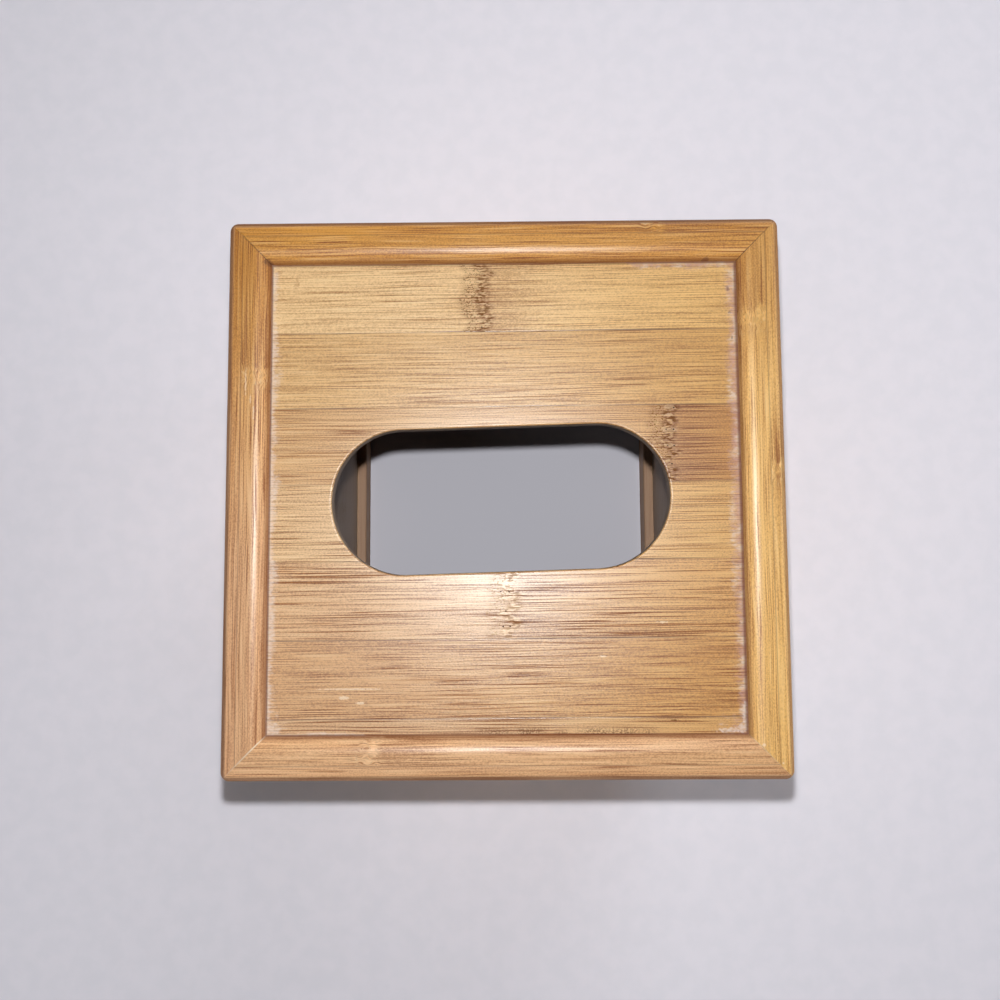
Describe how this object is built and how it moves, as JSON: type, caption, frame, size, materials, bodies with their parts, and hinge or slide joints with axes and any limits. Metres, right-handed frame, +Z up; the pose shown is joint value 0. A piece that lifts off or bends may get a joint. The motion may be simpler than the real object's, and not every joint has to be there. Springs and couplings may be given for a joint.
{
  "type": "tissue box cover",
  "caption": "Square bamboo cover for a boutique box of tissues: mitred frame members around recessed panels, open underneath, with a round-ended slot in the top.",
  "frame": {"origin": "on the table, under the middle of the cover", "axes": "+Z up through the slot, +X to the right along the slot's length, +Y to the back"},
  "size_m": [0.145, 0.145, 0.15],
  "materials": {
    "member_bamboo": "semi-gloss clear varnish",
    "panel_bamboo": "semi-gloss clear varnish",
    "dowel_wood": "bare turned wood"
  },
  "bodies": {
    "root": {"top_rail_front": "member_bamboo", "top_rail_back": "member_bamboo", "top_rail_left": "member_bamboo", "top_rail_right": "member_bamboo", "bottom_rail_front": "member_bamboo", "bottom_rail_back": "member_bamboo", "bottom_rail_left": "member_bamboo", "bottom_rail_right": "member_bamboo", "corner_post_front_left": "member_bamboo", "corner_post_front_right": "member_bamboo", "corner_post_back_left": "member_bamboo", "corner_post_back_right": "member_bamboo", "top_panel": "panel_bamboo", "side_panel_front": "panel_bamboo", "side_panel_back": "panel_bamboo", "side_panel_left": "panel_bamboo", "side_panel_right": "panel_bamboo", "top_corner_dowels": "dowel_wood", "bottom_corner_dowels": "dowel_wood"}
  },
  "joints": []
}
